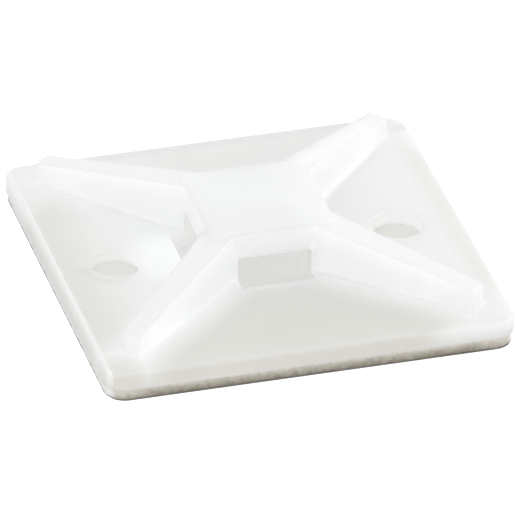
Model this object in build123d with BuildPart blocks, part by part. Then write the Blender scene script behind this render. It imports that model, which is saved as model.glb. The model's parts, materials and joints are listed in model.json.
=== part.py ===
from build123d import *
import math
import os

os.makedirs("parts", exist_ok=True)

# A four-way cable tie mount: moulded base, adhesive foam pad and its release liner.
# Millimetres. The origin is the centre of the underside, Z points up.

# Square base
side = 28.4  # edge length
corner_r = 1.45  # rounding of the four corners
liner_t = 0.10  # release liner
foam_t = 0.71  # adhesive foam
tape_inset = 0.15  # the tape's slit edges stand back from the plate's sides
plate_t = 1.17  # moulded plate
plate_edge_r = 0.22  # rounding of the plate's upper edge

# Raised platform that the ties pass under
platform_side = 8.76
platform_h = 3.67  # above the plate
platform_corner_r = 0.50
platform_edge_r = 0.40

# Crossed tie channels, open at the underside of the plate for moulding
tie_w = 4.8  # widest tie that goes in
tie_clearance = 0.14  # on each side of the tie
channel_h = 1.62  # head room above the plate
sill_gap = 1.11  # reach of the channel floor beyond the platform wall

# Four ribs that run down from the platform's corners to the base's corners
rib_reach = 17.0  # from the middle of the mount to the end of the rib
rib_root_w = 2.28
rib_tip_w = 1.46
rib_root_h = 3.33  # crest above the plate at the platform's corner
rib_tip_h = 1.60  # crest above the plate at the tip, before the nose is rounded
rib_nose_r = 0.35
rib_crest_r = 0.12  # rounding along the crest and down the tip
rib_draft = 1.0  # degrees, so that the rib leaves its mould
foot_r = 0.30  # fillet where ribs and platform meet the plate

# Two screw holes
screw_d = 3.5
screw_clearance = 0.05  # all round the screw
screw_rim_r = 0.10  # rounding of each hole's upper edge

# Levels and sizes that follow from the values above
foam_bottom = liner_t
plate_bottom = foam_bottom + foam_t
plate_top = plate_bottom + plate_t
channel_w = tie_w + 2 * tie_clearance
channel_length = platform_side + 2 * sill_gap
channel_top = plate_top + channel_h
screw_spacing = (side + channel_length) / 2  # each hole sits midway between channel floor and plate edge
screw_hole_r = screw_d / 2 + screw_clearance
tape_w = side - 2 * tape_inset

# Each rib keeps its slope and taper from the platform's corner back to its start inside
platform_corner = platform_side / math.sqrt(2)
rib_start = platform_corner - 0.6 * rib_root_w
rib_run = rib_reach - platform_corner
crest_slope = (rib_root_h - rib_tip_h) / rib_run
crest_start = plate_top + rib_root_h + crest_slope * (platform_corner - rib_start)
crest_tip = plate_top + rib_tip_h
rib_taper = (rib_root_w - rib_tip_w) / 2 / rib_run
rib_start_half_w = rib_root_w / 2 + rib_taper * (platform_corner - rib_start)
rib_tip_half_w = rib_tip_w / 2

# One rib, drawn along X: its side view gives the sloping crest and the rounded nose
with BuildPart() as rib:
    with BuildSketch(Plane.XZ) as side_view:
        Polygon(
            (rib_start, plate_bottom),
            (rib_reach, plate_bottom),
            (rib_reach, crest_tip),
            (rib_start, crest_start),
            align=None,
        )
        nose = side_view.vertices().group_by(Axis.X)[-1].sort_by(Axis.Y)[-1]
        fillet(nose, rib_nose_r)
    extrude(amount=rib_start_half_w, both=True)
    # The plan view narrows towards the tip, and the draft leans the sides inwards
    with BuildSketch(Plane.XY.offset(plate_bottom)) as plan_view:
        Polygon(
            (rib_start, -rib_start_half_w),
            (rib_reach, -rib_tip_half_w),
            (rib_reach, rib_tip_half_w),
            (rib_start, rib_start_half_w),
            align=None,
        )
    extrude(amount=crest_start - plate_bottom, taper=rib_draft, mode=Mode.INTERSECT)
    # The crest's two long edges are softened, and so are the nose and the tip that follow them
    crest = rib.faces().filter_by(GeomType.PLANE).sort_by(Axis.Z)[-1]
    fillet(crest.edges().sort_by(SortBy.LENGTH)[-2:], rib_crest_r)

# The moulded body
with BuildPart() as mount_body:
    # Base plate with a soft upper edge
    with BuildSketch(Plane.XY.offset(plate_bottom)):
        RectangleRounded(side, side, corner_r)
    extrude(amount=plate_t)
    fillet(mount_body.faces().sort_by(Axis.Z)[-1].edges(), plate_edge_r)
    # Platform
    with BuildSketch(Plane.XY.offset(plate_bottom)):
        RectangleRounded(platform_side, platform_side, platform_corner_r)
    extrude(amount=plate_t + platform_h)
    fillet(mount_body.faces().sort_by(Axis.Z)[-1].edges(), platform_edge_r)
    # Ribs on the diagonals
    with PolarLocations(0, 4, start_angle=45):
        add(rib.part)
    # Fillet at the foot of the ribs and of the platform, inside the plate's soft edge
    feet = mount_body.edges().filter_by_position(Axis.Z, plate_top - 0.01, plate_top + 0.01)
    feet = feet.filter_by(lambda e: max(abs(e.center().X), abs(e.center().Y)) < side / 2 - plate_edge_r - 0.1)
    fillet(feet, foot_r)
    # Crossed channels under the platform, cut from below
    with BuildSketch(Plane.XY.offset(plate_bottom)):
        Rectangle(channel_length, channel_w)
        Rectangle(channel_w, channel_length)
    extrude(amount=channel_top - plate_bottom, mode=Mode.SUBTRACT)
    # Screw holes with a soft upper rim
    with Locations(Plane.XY.offset(plate_top)):
        with GridLocations(screw_spacing, screw_spacing, 2, 1):
            Hole(screw_hole_r)
    rims = mount_body.edges().filter_by(GeomType.CIRCLE).filter_by(lambda e: abs(e.radius - screw_hole_r) < 0.001)
    fillet(rims.filter_by_position(Axis.Z, plate_top - 0.01, plate_top + 0.01), screw_rim_r)

# Adhesive foam pad under the plate, which closes the channels and holes from below
with BuildPart() as adhesive_pad:
    with BuildSketch(Plane.XY.offset(foam_bottom)):
        RectangleRounded(tape_w, side, corner_r)
    extrude(amount=foam_t)

# Release liner that peels off before use
with BuildPart() as release_liner:
    with BuildSketch(Plane.XY):
        RectangleRounded(tape_w, side, corner_r)
    extrude(amount=liner_t)

mount_body.part.label = "mount_body"
adhesive_pad.part.label = "adhesive_pad"
release_liner.part.label = "release_liner"

export_step(mount_body.part, "parts/mount_body.step")
export_step(adhesive_pad.part, "parts/adhesive_pad.step")
export_step(release_liner.part, "parts/release_liner.step")
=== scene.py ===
import bpy
import bmesh
import json
import math
from collections import namedtuple
from mathutils import Matrix, Vector, noise


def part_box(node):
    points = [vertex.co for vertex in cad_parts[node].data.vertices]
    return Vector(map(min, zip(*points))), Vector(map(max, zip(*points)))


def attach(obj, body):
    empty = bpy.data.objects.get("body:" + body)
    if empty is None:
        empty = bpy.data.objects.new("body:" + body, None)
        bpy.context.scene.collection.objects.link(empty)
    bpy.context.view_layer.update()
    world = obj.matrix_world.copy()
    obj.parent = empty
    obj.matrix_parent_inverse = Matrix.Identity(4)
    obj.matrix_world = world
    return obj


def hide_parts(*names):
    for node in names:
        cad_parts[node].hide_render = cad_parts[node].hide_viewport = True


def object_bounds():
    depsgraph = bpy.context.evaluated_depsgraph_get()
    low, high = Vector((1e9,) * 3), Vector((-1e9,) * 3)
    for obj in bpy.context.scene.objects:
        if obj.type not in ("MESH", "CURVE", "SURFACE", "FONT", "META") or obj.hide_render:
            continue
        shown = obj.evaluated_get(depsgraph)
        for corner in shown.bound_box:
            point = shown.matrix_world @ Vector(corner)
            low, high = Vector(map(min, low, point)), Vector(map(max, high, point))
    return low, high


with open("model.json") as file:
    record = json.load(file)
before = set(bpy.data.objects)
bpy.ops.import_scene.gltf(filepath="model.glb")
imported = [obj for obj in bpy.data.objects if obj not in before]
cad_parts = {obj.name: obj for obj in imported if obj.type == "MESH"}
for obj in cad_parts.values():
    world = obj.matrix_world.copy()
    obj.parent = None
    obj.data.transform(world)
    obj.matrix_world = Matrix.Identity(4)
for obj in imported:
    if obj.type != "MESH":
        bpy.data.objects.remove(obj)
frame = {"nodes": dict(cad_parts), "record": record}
cad_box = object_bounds()
scene = bpy.context.scene
MM = 0.001


def mm(*values):
    """Millimetres as metres."""
    return tuple(value * MM for value in values)


# Sizes that the frame gives, from the middle of the mount and from its underside
FOAM_LOW, FOAM_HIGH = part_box("adhesive_pad")
SCREW_HOLES = next(mount for mount in frame["record"]["mounts"] if mount["name"] == "screw_holes")
HALF_SIDE = cad_box[1][0]
PLATE_TOP = SCREW_HOLES["pos_m"][2]
HOLE_X = SCREW_HOLES["dims"]["spacing_x_mm"] / 2 * MM
HOLE_R = SCREW_HOLES["dims"]["hole_r_mm"] * MM

# Sizes that the frame doesn't give
CORNER_R = 1.45 * MM  # rounding of the base's corners
PLATFORM_FOOT = 4.75 * MM  # just past the platform's foot fillet
PLATE_START = 4.90 * MM  # from here outwards the plate is open
PLATFORM_CORNER = 6.20 * MM  # along a diagonal
RIB_END = 17.0 * MM  # along a diagonal
RIB_FOOT = mm(1.40, 0.98)  # half width of a rib at its foot, by the platform and at its end
CHANNEL_HALF_W = 2.56 * MM  # just past the channel's wall
CHANNEL_TOP = 3.59 * MM  # just under the channel's ceiling
CHANNEL_REACH = 5.46 * MM  # just short of the end of the channel's floor

# Spans over which a tone changes
LEFT_TO_RIGHT = mm(-1.0, 1.0)
FRONT_TO_BACK = mm(-3.0, 3.0)
BESIDE = mm(-1.6, 1.6)  # of |X| - |Y|, from the bays in front and behind to the bays beside
PLATE_TO_WALL = mm(1.96, 2.02)  # height, just round the plate's top
PLATE_TO_TOP = mm(0.14, 0.01)  # height over the plate at which something still counts as the plate
FALLING = (1.0, 0.0)

DIAGONAL = math.sqrt(0.5)  # share of a length along X or Y that counts along a diagonal

# Node helpers


def feed(tree, socket, given):
    """Sets an input socket to a value, or links it to another socket."""
    if isinstance(given, bpy.types.NodeSocket):
        tree.links.new(given, socket)
    else:
        socket.default_value = given


def new_node(tree, kind, x, y, **values):
    """Adds a shader node; values name its properties or its input sockets."""
    node = tree.nodes.new(kind)
    node.location = (x, y)
    for name, value in values.items():
        if hasattr(node, name):
            setattr(node, name, value)
        else:
            feed(tree, node.inputs[name.replace("_", " ")], value)
    return node


Place = namedtuple("Place", "east north height larger smaller")


class Sheet:
    """A tree of nodes that work on numbers and colours, laid out in columns."""

    ROWS = 6
    STEP = 190

    def __init__(self, tree):
        self.tree, self.count = tree, 0

    def add(self, kind, **values):
        column, row = divmod(self.count, self.ROWS)
        self.count += 1
        return new_node(self.tree, kind, self.STEP * column, -self.STEP * row, **values)

    def put(self, group, **values):
        """Puts a node group in, with its own values."""
        return self.add("ShaderNodeGroup", node_tree=group, **values).outputs

    def calc(self, operation, a, b=0.0, **values):
        node = self.add("ShaderNodeMath", operation=operation, **values)
        feed(self.tree, node.inputs[0], a)
        feed(self.tree, node.inputs[1], b)
        return node.outputs[0]

    def chain(self, operation, first, *others):
        for other in others:
            first = self.calc(operation, first, other)
        return first

    def plus(self, *values):
        return self.chain("ADD", *values)

    def times(self, *values):
        return self.chain("MULTIPLY", *values)

    def minus(self, a, b):
        return self.calc("SUBTRACT", a, b)

    def rest(self, share):
        """What a share leaves of one."""
        return self.minus(1.0, share)

    def ratio(self, a, b):
        return self.calc("DIVIDE", a, b)

    def size(self, value):
        return self.calc("ABSOLUTE", value)

    def larger(self, a, b):
        return self.calc("MAXIMUM", a, b)

    def smaller(self, a, b):
        return self.calc("MINIMUM", a, b)

    def below(self, value, limit):
        return self.calc("LESS_THAN", value, limit)

    def distance(self, a, b):
        return self.calc("SQRT", self.plus(self.times(a, a), self.times(b, b)))

    def ramp(self, value, span, ends=(0.0, 1.0), kind="SMOOTHSTEP"):
        """Goes from the first of the ends to the second while the value goes through the span."""
        labels = ("Value", "From Min", "From Max", "To Min", "To Max")
        node = self.add("ShaderNodeMapRange", interpolation_type=kind)
        for label, given in zip(labels, (value, *span, *ends)):
            feed(self.tree, node.inputs[label], given)
        return node.outputs[0]

    def slope(self, value, span, ends=(0.0, 1.0)):
        """A ramp that is straight instead of smooth."""
        return self.ramp(value, span, ends, kind="LINEAR")

    def between(self, mask, off, on):
        """Goes from off to on with a mask."""
        return self.ramp(mask, (0.0, 1.0), (off, on))

    def blend(self, mask, under, over):
        """A colour that goes from under to over with a mask."""
        node = self.add("ShaderNodeMix", data_type="RGBA")
        for place, given in ((0, mask), (6, under), (7, over)):
            feed(self.tree, node.inputs[place], (*given, 1) if isinstance(given, tuple) else given)
        return node.outputs[2]

    def where(self):
        """The point's own coordinates on the object."""
        return self.add("ShaderNodeTexCoord").outputs["Object"]

    def place(self):
        """The same as X, Y, Z, and the larger and the smaller of |X| and |Y|."""
        east, north, height = self.add("ShaderNodeSeparateXYZ", Vector=self.where()).outputs
        across, along = self.size(east), self.size(north)
        return Place(east, north, height, self.larger(across, along), self.smaller(across, along))

    def outward(self, at):
        """How far out a point lies, measured along its diagonal."""
        return self.times(self.plus(at.larger, at.smaller), DIAGONAL)

    def facing(self):
        """The surface's direction: X, Y, Z."""
        normal = self.add("ShaderNodeNewGeometry").outputs["Normal"]
        return self.add("ShaderNodeSeparateXYZ", Vector=normal).outputs


def new_group(name, inputs):
    """Starts a node group: its sheet and its named inputs, given with their defaults."""
    group = bpy.data.node_groups.new(name, "ShaderNodeTree")
    for label, default in inputs.items():
        socket = group.interface.new_socket(label, in_out="INPUT", socket_type="NodeSocketFloat")
        socket.default_value = default
    return Sheet(group), new_node(group, "NodeGroupInput", -Sheet.STEP, 0).outputs


def end_group(nodes, results):
    """Ends a node group with its named outputs, right of its last column."""
    for label in results:
        nodes.tree.interface.new_socket(label, in_out="OUTPUT", socket_type="NodeSocketFloat")
    columns = nodes.count // nodes.ROWS + 1
    leave = new_node(nodes.tree, "NodeGroupOutput", nodes.STEP * columns, 0)
    for label, value in results.items():
        feed(nodes.tree, leave.inputs[label], value)
    return nodes.tree


def new_material(name):
    """Starts a material: its sheet and its surface output."""
    material = bpy.data.materials.new(name)
    material.use_nodes = True
    material.node_tree.nodes.clear()
    output = new_node(material.node_tree, "ShaderNodeOutputMaterial", 0, 2 * Sheet.STEP)
    return material, Sheet(material.node_tree), output.inputs["Surface"]


# Effects


def make_mottle():
    """Slow cloudy variation of a value between a low and a high limit."""
    nodes, given = new_group("mottle", {"Patch Size": 4 * MM, "Low": 0.9, "High": 1.0})
    most_of_noise = (0.3, 0.7)
    cloud = nodes.add(
        "ShaderNodeTexNoise",
        Vector=nodes.where(),
        Scale=nodes.ratio(1.0, given["Patch Size"]),
        Detail=3.0,
        Roughness=0.55,
    )
    value = nodes.slope(cloud.outputs[0], most_of_noise, (given["Low"], given["High"]))
    return end_group(nodes, {"Value": value})


def make_specks():
    """A mask of sparse small dots, such as dust or pinholes."""
    nodes, given = new_group("specks", {"Spacing": 2 * MM, "Dot Size": 0.08})
    fineness = nodes.ratio(1.0, given["Spacing"])
    cells = nodes.add("ShaderNodeTexVoronoi", Vector=nodes.where(), Scale=fineness)
    return end_group(nodes, {"Mask": nodes.below(cells.outputs["Distance"], given["Dot Size"])})


def make_painted_lit_sides():
    """A mask of the left and right sides, where foam and liner are painted lighter as the sides that light
    falls on.
    """
    nodes, given = new_group("painted_lit_sides", {"Start": 0.55, "Full": 0.9})
    sideways = nodes.size(nodes.facing()[0])
    return end_group(nodes, {"Mask": nodes.ramp(sideways, (given["Start"], given["Full"]))})


def make_plate_tone():
    """Where the nylon looks darker because it is thin, or warmer, and where light and shade are painted
    into it: the plate's bays, the roof, the ribs' ends, the foot line, low walls.
    """
    nodes, given = new_group("plate_tone", {
        "Front Fade": 3.4 * MM,
        "Left Fade": 2.4 * MM,
        "Other Fade": 0.35 * MM,
        "Middle Fade": 0.9 * MM,
        "Back Share": 0.62,
    })
    at = nodes.place()
    facing = nodes.facing()
    outward = nodes.outward(at)

    # Distance from a rib's flank or end
    foot_line = nodes.slope(outward, (PLATFORM_CORNER, RIB_END), RIB_FOOT)
    aside = nodes.times(nodes.minus(at.larger, at.smaller), DIAGONAL)
    flank = nodes.larger(nodes.minus(aside, foot_line), nodes.minus(outward, RIB_END))

    # Which of the four bays
    beside = nodes.ramp(nodes.minus(nodes.size(at.east), nodes.size(at.north)), BESIDE)
    in_front = nodes.ramp(at.north, FRONT_TO_BACK, FALLING)
    front = nodes.times(in_front, nodes.rest(beside))
    behind = nodes.times(nodes.rest(in_front), nodes.rest(beside))
    left = nodes.times(beside, nodes.ramp(at.east, LEFT_TO_RIGHT, FALLING))

    # How far the plate is painted lighter beside ribs and platform, as light spreads from them, a little
    # less where a channel ends
    front_fade = nodes.times(given["Front Fade"], nodes.ramp(at.east, LEFT_TO_RIGHT, (0.70, 0.78)))
    side_fade = nodes.between(left, given["Other Fade"], given["Left Fade"])
    fade = nodes.between(front, side_fade, front_fade)
    near_rib = nodes.ratio(flank, fade)
    middle_fade = nodes.larger(nodes.times(fade, 0.8), given["Middle Fade"])
    near_middle = nodes.ratio(nodes.minus(at.larger, PLATE_START), middle_fade)
    near_middle = nodes.plus(near_middle, nodes.ramp(at.smaller, mm(3.4, 2.4), (0.0, 0.2)))
    light = nodes.slope(nodes.smaller(near_rib, near_middle), (0.0, 1.0), FALLING)
    bare = nodes.rest(nodes.times(light, light))
    on_plate = nodes.ramp(nodes.minus(at.height, PLATE_TOP), PLATE_TO_TOP)

    # A soft shadow in front of the left screw hole, and a narrow one along its lip
    off_hole = nodes.distance(nodes.plus(at.east, HOLE_X), at.north)
    shadow = nodes.times(
        nodes.ramp(off_hole, mm(3.2, 2.0)),
        nodes.ramp(at.north, mm(0.6, -0.6)),
        nodes.ramp(at.east, mm(-9.0, -10.5)),
    )
    lip = nodes.times(
        nodes.ramp(off_hole, mm(2.3, 1.9)),
        nodes.ramp(at.north, mm(0.0, -0.8)),
        nodes.ramp(at.east, mm(-8.6, -9.6)),
    )

    # Painted shade: how dark each bay gets, by where light falls
    left_part = nodes.ramp(at.east, mm(-14.5, -6.5), (0.95, 0.0))
    left_part = nodes.plus(left_part, nodes.times(shadow, 0.35), nodes.times(lip, 0.25))
    right_part = nodes.plus(
        nodes.ramp(at.east, mm(6.5, 12.0), (0.45, 0.05)),
        nodes.ramp(at.east, mm(11.8, 14.2), (0.0, 0.75)),
    )
    side_part = nodes.ramp(at.east, LEFT_TO_RIGHT, (left_part, right_part))
    back_part = nodes.plus(given["Back Share"], nodes.ramp(at.north, mm(12.8, 14.3), (0.0, 0.5)))
    other_part = nodes.between(in_front, back_part, 1.0)

    # A painted highlight along the left rim, and corners painted lighter by light except at the front left,
    # also at the right end of the front side
    from_rim = nodes.plus(at.east, HALF_SIDE)
    line = nodes.times(nodes.ramp(from_rim, mm(0.05, 0.36)), nodes.ramp(from_rim, mm(0.58, 0.42)))
    corner = nodes.times(
        nodes.ramp(outward, mm(14.8, 18.0)),
        nodes.ramp(nodes.plus(at.east, at.north), mm(-20.0, -12.0)),
        nodes.larger(nodes.ramp(at.north, mm(12.4, 11.6)), nodes.ramp(at.east, mm(4.0, -4.0))),
    )
    back_left = nodes.times(nodes.ramp(outward, mm(13.0, 16.5)), left, nodes.ramp(at.north, mm(4.0, 9.0)))
    front_side = nodes.ramp(facing[1], (-0.2, -0.7))
    side_end = nodes.times(front_side, nodes.ramp(at.east, mm(5.5, 13.0)))
    bare = nodes.times(
        bare,
        on_plate,
        nodes.between(beside, other_part, side_part),
        nodes.between(line, 1.0, 0.2),
        nodes.between(corner, 1.0, 0.45),
        nodes.between(back_left, 1.0, 0.6),
        nodes.between(side_end, 1.0, 0.38),
    )

    # Painted shade on the roof over the platform's hollow middle, darkest at the front left
    hollow = nodes.times(
        nodes.ramp(at.east, mm(3.6, 0.6)),
        nodes.ramp(at.north, mm(1.0, -3.6), (0.35, 1.0)),
        nodes.ramp(at.height, mm(4.5, 5.1)),
        nodes.ramp(at.larger, mm(5.4, 4.6)),
    )
    # The ribs' ends are painted a little darker too as shade, on the right also their sides
    least_upright = nodes.ramp(at.east, LEFT_TO_RIGHT, (0.5, -0.5))
    tip_shade = nodes.times(
        nodes.ramp(outward, mm(13.4, 16.8)),
        nodes.ramp(at.east, LEFT_TO_RIGHT, (0.32, 0.80)),
        nodes.ramp(at.height, mm(2.4, 3.0)),
        nodes.ramp(facing[2], (least_upright, 0.9)),
    )

    # The foot line of ribs and platform, in the front and left bays, where a painted highlight goes
    off_foot = nodes.smaller(flank, nodes.minus(at.larger, PLATFORM_FOOT))
    foot = nodes.times(
        nodes.ramp(off_foot, mm(0.45, 0.05)),
        on_plate,
        nodes.ramp(at.height, mm(1.88, 1.94)),
        nodes.larger(front, left),
    )

    # Painted warm light on the low walls that face front left
    front_left = nodes.times(nodes.plus(facing[0], facing[1]), -DIAGONAL)
    warm_light = nodes.times(
        nodes.ramp(front_left, (0.3, 0.8)),
        nodes.ramp(at.height, mm(3.6, 2.3)),
        nodes.ramp(at.height, PLATE_TO_WALL),
    )
    return end_group(nodes, {
        "On Plate": on_plate,
        "Bare": bare,
        "Front Bay": front,
        "Back Bay": behind,
        "Front Side": front_side,
        "Roof And Tip Shade": nodes.larger(hollow, tip_shade),
        "Foot": foot,
        "Warm Light On Low Walls": warm_light,
    })


def make_walls():
    """Steep faces, read broadly at the feet and narrowly at the crests, and the channels' inside."""
    nodes, given = new_group("walls", {"Foot Tilt": 0.98, "Crest Tilt": 0.50})
    at = nodes.place()
    tilt = nodes.facing()[2]
    foot = nodes.ramp(tilt, (given["Foot Tilt"], 0.35))
    crest = nodes.ramp(tilt, (given["Crest Tilt"], 0.05))
    steep = nodes.between(nodes.ramp(at.height, mm(2.5, 3.0)), foot, crest)
    inside = nodes.times(
        nodes.below(at.smaller, CHANNEL_HALF_W),
        nodes.below(at.height, CHANNEL_TOP),
        nodes.below(at.larger, CHANNEL_REACH),
        nodes.below(tilt, 0.5),
    )
    return end_group(nodes, {"Steep": steep, "Inside": inside})


def make_light_out():
    """Painted glow that stands in for light from elsewhere leaving the milky nylon here, through walls more
    than through tops.
    """
    nodes, given = new_group("light_out", {
        "Steep": 0.0,
        "Inside": 0.0,
        "Foot": 0.0,
        "Wall Light": 0.085,
        "Low Wall Light": 0.085,
        "Lintel Light": 0.09,
        "Hole Wall Light": 0.14,
        "Patch Light": 0.075,
        "Back Rib Light": 0.055,
        "Crest Light": 0.05,
        "Inside Light": 0.03,
        "Foot Light": 0.03,
    })
    at = nodes.place()
    facing = nodes.facing()
    outward = nodes.outward(at)
    steep = nodes.times(given["Steep"], nodes.rest(given["Inside"]))
    raised = nodes.times(steep, nodes.ramp(at.height, PLATE_TO_WALL))

    # Ribs get dimmer towards their ends, most of all on the right
    tip_start = nodes.ramp(at.east, LEFT_TO_RIGHT, mm(15.0, 13.6))
    tip_end = RIB_END + 0.3 * MM
    tip_share = nodes.ramp(at.east, LEFT_TO_RIGHT, (0.6, 0.25))
    tip = nodes.ramp(outward, (tip_start, tip_end), (1.0, tip_share))

    # Walls that face front right, brightest at their foot, but not in the lee of the platform
    front_right = nodes.times(nodes.minus(facing[0], facing[1]), DIAGONAL)
    low = nodes.times(
        nodes.ramp(front_right, (0.3, 0.8)),
        nodes.ramp(at.height, mm(4.4, 2.2)),
        nodes.larger(nodes.ramp(at.north, mm(-0.5, 0.5)), nodes.ramp(outward, mm(9.4, 12.4))),
    )
    # The jambs beside each channel are dimmer
    jamb = nodes.times(
        nodes.ramp(at.smaller, mm(3.3, 2.6)),
        nodes.ramp(at.height, mm(3.8, 3.4)),
        nodes.ramp(at.larger, mm(6.0, 5.5)),
    )
    wall = nodes.plus(
        given["Wall Light"],
        nodes.ramp(at.height, mm(4.0, 2.4), (0.0, 0.008)),
        nodes.times(low, given["Low Wall Light"]),
    )
    wall = nodes.times(wall, raised, tip, nodes.between(jamb, 1.0, 0.45))

    # Painted glow on the platform's wall just above each channel
    lintel = nodes.times(
        steep,
        given["Lintel Light"],
        nodes.ramp(at.height, mm(4.7, 3.7)),
        nodes.ramp(at.height, mm(3.5, 3.6)),
        nodes.ramp(at.smaller, mm(3.0, 2.5)),
    )

    # Painted glow on the walls of the screw holes, growing downwards
    aside = nodes.minus(nodes.size(at.east), HOLE_X)
    rim = nodes.ramp(nodes.minus(nodes.distance(aside, at.north), HOLE_R), mm(0.16, 0.01))
    hole = nodes.times(
        rim,
        given["Hole Wall Light"],
        nodes.ramp(facing[2], (0.98, 0.3)),
        nodes.ramp(at.height, mm(1.90, 1.10), (0.05, 0.9)),
    )

    # Light that comes through the channel falls just outside its left mouth
    patch_x, patch_y = mm(-6.4, -0.3)
    flattened = nodes.times(nodes.minus(at.north, patch_y), 0.75)
    off_patch = nodes.distance(nodes.minus(at.east, patch_x), flattened)
    patch = nodes.times(nodes.ramp(off_patch, mm(3.2, 1.1)), nodes.ramp(at.height, mm(2.6, 2.1)))

    # The rib behind on the right lies nearest to the lamps
    back_rib = nodes.times(
        tip,
        given["Back Rib Light"],
        nodes.ramp(at.east, mm(3.0, 4.5)),
        nodes.ramp(at.north, mm(3.0, 4.5)),
        nodes.ramp(at.height, mm(3.0, 3.5)),
        nodes.ramp(facing[2], (0.6, 0.9)),
    )

    # Painted glow on the left crest of the front left rib
    crest = nodes.times(
        given["Crest Light"],
        nodes.ramp(nodes.times(nodes.minus(at.north, at.east), DIAGONAL), mm(0.0, 0.8)),
        nodes.ramp(at.north, mm(-3.5, -4.5)),
        nodes.ramp(at.east, mm(-3.5, -4.5)),
        nodes.ramp(at.height, mm(3.0, 3.4)),
        nodes.ramp(facing[2], (0.3, 0.9)),
    )

    # Painted glow in the channels' inside towards the left, and a painted highlight on the foot line, more
    # so away from the middle
    inside = nodes.times(given["Inside"], given["Inside Light"], nodes.ramp(at.east, mm(-1.5, -2.6)))
    foot = nodes.times(given["Foot"], given["Foot Light"], nodes.ramp(outward, mm(8.5, 12.0), (0.25, 1.0)))

    lit_patch = nodes.times(patch, given["Patch Light"])
    light = nodes.plus(wall, lintel, hole, lit_patch, back_rib, crest, inside, foot)
    hole_rim = nodes.times(rim, nodes.ramp(at.height, mm(2.1, 2.0)))
    return end_group(nodes, {"Light": light, "Lit Patch": patch, "Hole Rim": hole_rim})


MOTTLE = make_mottle()
SPECKS = make_specks()
PAINTED_LIT_SIDES = make_painted_lit_sides()
PLATE_TONE = make_plate_tone()
WALLS = make_walls()
LIGHT_OUT = make_light_out()

# Materials


def nylon_colour(nodes, tone, walls, light):
    """The colours of the nylon, with painted light and shade, laid over each other from the cloudy ground
    to the thin plate.
    """
    at = nodes.place()
    cloud = nodes.put(MOTTLE, Patch_Size=5 * MM, Low=0.0, High=1.0)["Value"]
    shade = nodes.blend(cloud, (0.921, 0.944, 0.970), (0.941, 0.964, 0.990))

    # Walls are painted whiter as light, the hollow roof and the ribs' ends greyer as painted shade, and low
    # walls that face front left warmer as painted warm light
    wall = nodes.calc("SUBTRACT", walls["Steep"], light["Hole Rim"], use_clamp=True)
    shade = nodes.blend(wall, shade, (0.981, 0.987, 0.989))
    shade = nodes.blend(tone["Roof And Tip Shade"], shade, (0.825, 0.826, 0.812))
    shade = nodes.blend(tone["Warm Light On Low Walls"], shade, (0.968, 0.965, 0.925))

    # The plate between the ribs is warmer, most of all in front, and greyer where it is thin over the foam;
    # that mask also holds painted light and shade, and the plate's front side gets painted light, lighter
    # towards the bottom
    lit_plate = nodes.blend(tone["Front Bay"], (0.966, 0.960, 0.908), (0.955, 0.954, 0.905))
    thin_plate = nodes.blend(tone["Front Bay"], (0.601, 0.602, 0.576), (0.607, 0.603, 0.566))
    thin_plate = nodes.blend(tone["Back Bay"], thin_plate, (0.610, 0.600, 0.606))
    up_the_side = nodes.slope(at.height, mm(0.9, 1.7))
    front_side = nodes.blend(up_the_side, (0.674, 0.629, 0.545), (0.573, 0.554, 0.520))
    thin_plate = nodes.blend(tone["Front Side"], thin_plate, front_side)
    shade = nodes.blend(tone["On Plate"], shade, lit_plate)
    shade = nodes.blend(tone["Bare"], shade, thin_plate)
    # Painted light where light through the channel falls just outside its left mouth
    shade = nodes.blend(light["Lit Patch"], shade, (0.955, 0.965, 0.970))

    # The channels' inside is painted darker as shade, least so at its left mouth
    inside_shade = nodes.blend(nodes.slope(at.east, mm(-1.5, -2.6)), (0.75, 0.745, 0.70), (0.83, 0.82, 0.77))
    return nodes.blend(walls["Inside"], shade, inside_shade)


def nylon_relief(nodes):
    """The nylon's skin: fine grain over slow waves, with a few specks."""
    where = nodes.where()
    grain = nodes.add("ShaderNodeTexNoise", Vector=where, Scale=9000.0, Detail=2.0)
    wave = nodes.add("ShaderNodeTexNoise", Vector=where, Scale=450.0, Detail=2.0)
    specks = nodes.put(SPECKS, Spacing=1.9 * MM, Dot_Size=0.035)["Mask"]
    fine = nodes.add("ShaderNodeBump", Strength=0.12, Distance=0.02 * MM, Height=grain.outputs[0])
    broad = nodes.add(
        "ShaderNodeBump",
        Strength=0.35,
        Distance=0.05 * MM,
        Height=nodes.plus(wave.outputs[0], specks),
        Normal=fine.outputs[0],
    )
    return broad.outputs[0]


def make_nylon():
    """Natural milky nylon, as it comes from the mould."""
    material, nodes, output = new_material("natural_nylon")
    tone = nodes.put(PLATE_TONE)
    walls = nodes.put(WALLS)
    light = nodes.put(LIGHT_OUT, Steep=walls["Steep"], Inside=walls["Inside"], Foot=tone["Foot"])
    surface = nodes.add(
        "ShaderNodeBsdfPrincipled",
        Base_Color=nylon_colour(nodes, tone, walls, light),
        Roughness=nodes.put(MOTTLE, Patch_Size=2.5 * MM, Low=0.30, High=0.42)["Value"],
        IOR=1.53,
        Subsurface_Weight=1.0,
        Subsurface_Radius=(1.0, 0.97, 0.92),
        Subsurface_Scale=6.0 * MM,
        # The painted glow from light_out goes in as emission
        Emission_Color=light["Light"],
        Emission_Strength=1.0,
        Normal=nylon_relief(nodes),
    )
    # The real nylon lets part of the light through, so lamps and sky reach what is behind it
    path = nodes.add("ShaderNodeLightPath").outputs
    through = nodes.times(nodes.larger(path["Is Shadow Ray"], path["Is Diffuse Ray"]), 0.9)
    clear = nodes.add("ShaderNodeBsdfTransparent", Color=(0.97, 0.98, 1.0, 1))
    milky = nodes.add("ShaderNodeMixShader", Fac=through)
    feed(nodes.tree, milky.inputs[1], surface.outputs["BSDF"])
    feed(nodes.tree, milky.inputs[2], clear.outputs[0])
    feed(nodes.tree, output, milky.outputs[0])
    return material


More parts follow.
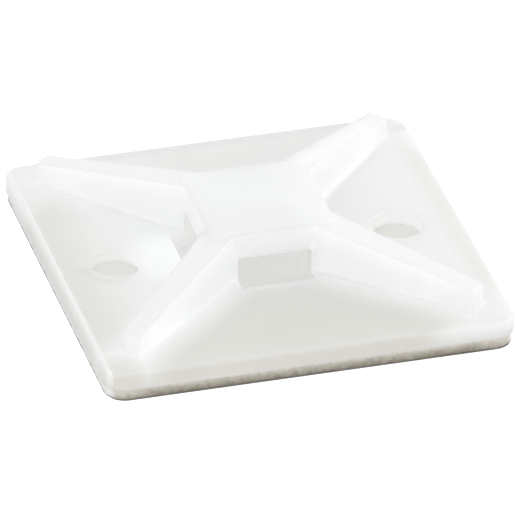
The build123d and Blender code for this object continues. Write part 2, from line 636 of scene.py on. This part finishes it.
def make_foam():
    """Closed-cell foam tape, matt, with cut cells on its sides, which are painted darker towards the liner
    as shade.
    """
    material, nodes, output = new_material("foam_tape")
    at = nodes.place()
    upright = nodes.facing()[2]

    # The front and back sides, painted with shade that is darker towards the bottom and with light towards
    # the corners, in small uneven patches; the left and right sides are painted pale as lit sides
    upwards = nodes.slope(at.height, mm(0.15, 0.80))
    ends = nodes.slope(nodes.size(at.east), mm(11.0, 13.8), (0.0, 0.6))
    patches = nodes.put(MOTTLE, Patch_Size=0.35 * MM, Low=-0.18, High=0.18)["Value"]
    light = nodes.calc("ADD", upwards, nodes.plus(patches, ends), use_clamp=True)
    cut = nodes.blend(light, (0.30, 0.272, 0.215), (0.72, 0.692, 0.615))
    sides = nodes.blend(nodes.put(PAINTED_LIT_SIDES)["Mask"], cut, (0.90, 0.90, 0.88))

    # Its top, as it is seen in the channels and holes, painted lighter in the left mouth and a little on
    # the right, where light comes in
    mouth = nodes.times(
        nodes.ramp(at.east, mm(-3.0, -4.2)),
        nodes.ramp(at.east, mm(-6.5, -8.0), (1.0, 0.22)),
    )
    lighter = nodes.larger(mouth, nodes.ramp(at.east, mm(7.0, 8.0), (0.0, 0.1)))
    top = nodes.blend(lighter, (0.768, 0.766, 0.718), (0.835, 0.830, 0.785))

    cells = nodes.add("ShaderNodeTexVoronoi", Vector=nodes.where(), Scale=7000.0).outputs["Distance"]
    relief = nodes.add("ShaderNodeBump", Strength=0.5, Distance=0.05 * MM, Height=cells)
    surface = nodes.add(
        "ShaderNodeBsdfPrincipled",
        Base_Color=nodes.blend(nodes.slope(upright, (0.5, 0.9)), sides, top),
        Roughness=0.9,
        Specular_IOR_Level=0.25,
        Normal=relief.outputs[0],
    )
    feed(nodes.tree, output, surface.outputs["BSDF"])
    return material


def make_liner():
    """Thin coated release paper, painted an uneven dark grey as shade, with its left and right edges
    painted pale where light falls.
    """
    material, nodes, output = new_material("release_paper")
    cloud = nodes.put(MOTTLE, Patch_Size=1.5 * MM, Low=0.0, High=1.0)["Value"]
    # Painted shade: this dark grey stands in for the shade along the liner's front and back
    paper = nodes.blend(cloud, (0.17, 0.163, 0.155), (0.25, 0.243, 0.235))
    surface = nodes.add(
        "ShaderNodeBsdfPrincipled",
        Base_Color=nodes.blend(nodes.put(PAINTED_LIT_SIDES)["Mask"], paper, (0.86, 0.86, 0.84)),
        Roughness=0.5,
    )
    feed(nodes.tree, output, surface.outputs["BSDF"])
    return material


def make_white_sheet():
    """Matt white paper that the camera sees as nearly pure white."""
    material, nodes, output = new_material("white_sheet")
    seen = nodes.times(nodes.add("ShaderNodeLightPath").outputs["Is Camera Ray"], 0.65)
    glow = nodes.add("ShaderNodeEmission", Strength=seen)
    paper = nodes.add("ShaderNodeBsdfDiffuse", Color=(0.78, 0.78, 0.78, 1))
    both = nodes.add("ShaderNodeAddShader")
    feed(nodes.tree, both.inputs[0], glow.outputs[0])
    feed(nodes.tree, both.inputs[1], paper.outputs[0])
    feed(nodes.tree, output, both.outputs[0])
    return material


def dress(obj, material):
    """Gives an object one material only."""
    obj.data.materials.clear()
    obj.data.materials.append(material)


dress(frame["nodes"]["mount_body"], make_nylon())
dress(frame["nodes"]["release_liner"], make_liner())

# Foam tape

OUTLINE_STEP = 0.16 * MM  # between neighbouring points of the pad's outline
CUT_LEVELS = (0.0, 0.06, 0.22, 0.40, 0.58, 0.76, 0.93, 1.0)  # shares of the thickness
CUT_BACK = 0.01 * MM  # how far the cut sides stay inside the tape's outline
CUT_WAIST = 0.05 * MM  # how much further in they are halfway up
CUT_ROUNDING = 0.02 * MM  # and at their lower and upper edge
CUT_ROUGHNESS = ((2500, 0.035 * MM), (700, 0.02 * MM))  # fineness and depth
SWELL_R = 1.70 * MM  # the foam's swelling in each screw hole
SWELL_H = {-1: 0.42 * MM, 1: 0.34 * MM}  # in the left and in the right hole
SWELL_PROFILE = ((1.0, -0.3), (1.0, 0.35), (0.97, 0.62), (0.90, 0.82), (0.78, 0.93), (0.5, 0.99))
SWELL_TURNS = 48
SWELL_ROUGHNESS = (900, 0.06)  # fineness and share of the height


def rounded_outline(half_x, half_y, radius, step):
    """Points and outward directions along a rounded rectangle, anticlockwise, about a step apart."""
    points = []
    turns = max(4, round(radius * math.pi / 2 / step))
    corners = [(1, -1, -90), (1, 1, 0), (-1, 1, 90), (-1, -1, 180)]
    for sign_x, sign_y, first in corners:
        middle = Vector((sign_x * (half_x - radius), sign_y * (half_y - radius), 0))
        for turn in range(turns + 1):
            angle = math.radians(first + 90 * turn / turns)
            way = Vector((math.cos(angle), math.sin(angle), 0))
            points.append((middle + way * radius, way))
        # The straight side after the corner
        begin, way = points[-1]
        run = 2 * (half_y - radius) if abs(way.x) > 0.5 else 2 * (half_x - radius)
        along = Vector((-way.y, way.x, 0))
        count = round(run / step)
        for place in range(1, count):
            points.append((begin + along * run * place / count, way))
    return points


def close_stack(mesh, rings):
    """Joins rings of points to a closed form with flat ends."""
    count = len(rings[0])
    for lower, upper in zip(rings, rings[1:]):
        for place in range(count):
            after = (place + 1) % count
            mesh.faces.new((lower[place], lower[after], upper[after], upper[place]))
    mesh.faces.new(list(reversed(rings[0])))
    mesh.faces.new(rings[-1])


def add_cut_pad(mesh):
    """The pad itself: flat faces and uneven, slightly waisted cut sides."""
    outline = rounded_outline(FOAM_HIGH.x, FOAM_HIGH.y, CORNER_R, OUTLINE_STEP)
    rings = []
    for level in CUT_LEVELS:
        ring = []
        for point, way in outline:
            at = Vector((point.x, point.y, FOAM_LOW.z + (FOAM_HIGH.z - FOAM_LOW.z) * level))
            rough = sum(noise.noise(at * fineness) * depth for fineness, depth in CUT_ROUGHNESS)
            waist = CUT_WAIST * math.sin(math.pi * level) + CUT_ROUNDING * (level in (0.0, 1.0))
            ring.append(mesh.verts.new(at + way * (rough - waist - CUT_BACK)))
        rings.append(ring)
    close_stack(mesh, rings)


def add_swelling(mesh, side):
    """The foam's slight swelling up into a screw hole."""
    fineness, unevenness = SWELL_ROUGHNESS
    rings = []
    for share, rise in SWELL_PROFILE:
        ring = []
        for turn in range(SWELL_TURNS):
            angle = math.tau * turn / SWELL_TURNS
            way = Vector((math.cos(angle), math.sin(angle), 0))
            at = Vector((side * HOLE_X, 0, 0)) + way * SWELL_R * share
            at.z = FOAM_HIGH.z + SWELL_H[side] * (rise + unevenness * noise.noise(at * fineness))
            ring.append(mesh.verts.new(at))
        rings.append(ring)
    close_stack(mesh, rings)


def make_pad():
    """The tape's foam under the whole base, in one piece."""
    mesh = bmesh.new()
    add_cut_pad(mesh)
    for side in SWELL_H:
        add_swelling(mesh, side)
    data = bpy.data.meshes.new("foam_pad")
    mesh.to_mesh(data)
    mesh.free()
    for face in data.polygons:
        face.use_smooth = len(face.vertices) == 4
    pad = bpy.data.objects.new("foam_pad", data)
    scene.collection.objects.link(pad)
    dress(pad, make_foam())
    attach(pad, "root")
    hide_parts("adhesive_pad")


make_pad()

# Floor, light and camera

FLOOR_SIDE = 3.0
ROOM_LIGHT = 0.89
LAMP_DISTANCE = 0.5
PHOTO_PIXELS = 515
FOCAL_PIXELS = 9440.01  # the photograph's focal length in its own pixels
SENSOR_W = 36  # millimetres


def make_floor():
    """A white sheet that the mount lies on."""
    bpy.ops.mesh.primitive_plane_add(size=FLOOR_SIDE, location=(0, 0, 0))
    floor = bpy.context.object
    floor.name = "floor"
    dress(floor, make_white_sheet())


def make_world():
    """Even white room light."""
    world = bpy.data.worlds.new("white_room")
    scene.world = world
    world.use_nodes = True
    room = world.node_tree.nodes["Background"]
    room.inputs["Color"].default_value = (1.0, 1.0, 1.0, 1)
    room.inputs["Strength"].default_value = ROOM_LIGHT


def make_softbox(name, azimuth, elevation, size, power):
    """A square area lamp that looks at the mount. Azimuth 0 is in front, 90 on the right."""
    data = bpy.data.lights.new(name, "AREA")
    data.shape = "SQUARE"
    data.size = size
    data.energy = power
    lamp = bpy.data.objects.new(name, data)
    scene.collection.objects.link(lamp)
    a, e = math.radians(azimuth), math.radians(elevation)
    way = Vector((math.sin(a) * math.cos(e), -math.cos(a) * math.cos(e), math.sin(e)))
    lamp.location = way * LAMP_DISTANCE
    lamp.rotation_mode = "QUATERNION"
    lamp.rotation_quaternion = way.to_track_quat("Z", "Y")


def make_camera():
    """The camera of the photograph: far off with a long lens, slightly rolled."""
    azimuth, elevation, roll = math.radians(15.792), math.radians(30.895), math.radians(0.485)
    distance, aside, upward = mm(637.6, 0.052, 0.729)
    back = Vector((
        -math.sin(azimuth) * math.cos(elevation),
        -math.cos(azimuth) * math.cos(elevation),
        math.sin(elevation),
    ))
    level = Vector((math.cos(azimuth), -math.sin(azimuth), 0))
    rise = back.cross(level)
    right = level * math.cos(roll) + rise * math.sin(roll)
    up = rise * math.cos(roll) - level * math.sin(roll)
    data = bpy.data.cameras.new("camera")
    data.sensor_width = SENSOR_W
    data.lens = FOCAL_PIXELS * SENSOR_W / PHOTO_PIXELS
    data.clip_start, data.clip_end = 0.05, 10
    camera = bpy.data.objects.new("camera", data)
    scene.collection.objects.link(camera)
    turn = Matrix((right, up, back)).transposed().to_4x4()
    camera.matrix_world = Matrix.Translation(back * distance + right * aside + up * upward) @ turn
    scene.camera = camera


make_floor()
make_world()
make_softbox("key", azimuth=118, elevation=44, size=0.06, power=0.22)
make_softbox("right", azimuth=80, elevation=22, size=0.22, power=0.30)
make_softbox("left", azimuth=-50, elevation=22, size=0.22, power=0.22)
make_camera()
scene.view_settings.view_transform = "Standard"
